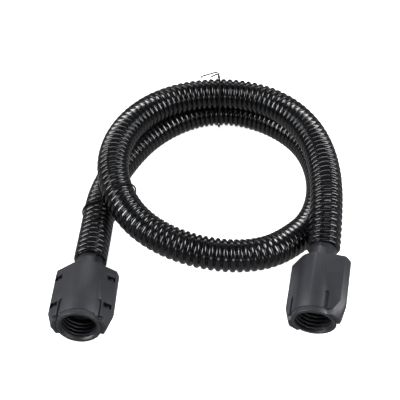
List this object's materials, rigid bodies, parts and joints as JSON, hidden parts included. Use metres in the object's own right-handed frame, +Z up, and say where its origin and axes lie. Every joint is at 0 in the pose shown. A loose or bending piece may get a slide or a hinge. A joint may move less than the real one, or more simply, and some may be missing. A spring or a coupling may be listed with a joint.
{
  "type": "vacuum hose",
  "caption": "Black corrugated hose coiled in one and a half loops, held by wire ties, with a threaded swivel coupling at each end.",
  "frame": {"origin": "centre of the coiled hose's bounding box, on the floor", "axes": "+Z up; +Y towards the back of the loops; -Y the side where both couplings open"},
  "size_m": [0.2808, 0.3256, 0.0691],
  "materials": {
    "hose": "glossy black corrugated plastic",
    "grip": "fine-grained dark grey moulded plastic",
    "grip_b": "fine-grained dark grey moulded plastic",
    "sleeve": "satin dark grey moulded plastic",
    "tail": "satin dark grey moulded plastic",
    "seal": "matt black rubber",
    "o_ring": "greased black rubber",
    "thrust": "natural white low-friction plastic",
    "wire": "black plastic-coated tie wire"
  },
  "bodies": {
    "hose_line": {"hose": "hose", "back_wire_tie": "wire", "crossing_wire_tie": "wire", "left_hose_tail": "tail", "left_o_ring": "o_ring", "left_thrust_ring": "thrust", "right_hose_tail": "tail", "right_o_ring": "o_ring", "right_thrust_ring": "thrust"},
    "left_coupling": {"left_window_shell": "grip", "left_latch_shell": "grip_b", "left_threaded_sleeve": "sleeve", "left_seal_washer": "seal"},
    "right_coupling": {"right_window_shell": "grip", "right_latch_shell": "grip_b", "right_threaded_sleeve": "sleeve", "right_seal_washer": "seal"}
  },
  "joints": [
    {"name": "left_swivel", "type": "hinge", "parent": "hose_line", "child": "left_coupling", "pos_m": [-0.1116, -0.1597, 0.0221], "axis": [-0.0488, -0.9987, 0.0175], "continuous": true},
    {"name": "right_swivel", "type": "hinge", "parent": "hose_line", "child": "right_coupling", "pos_m": [0.1002, -0.1534, 0.0219], "axis": [-0.1835, -0.9713, -0.1513], "continuous": true}
  ]
}
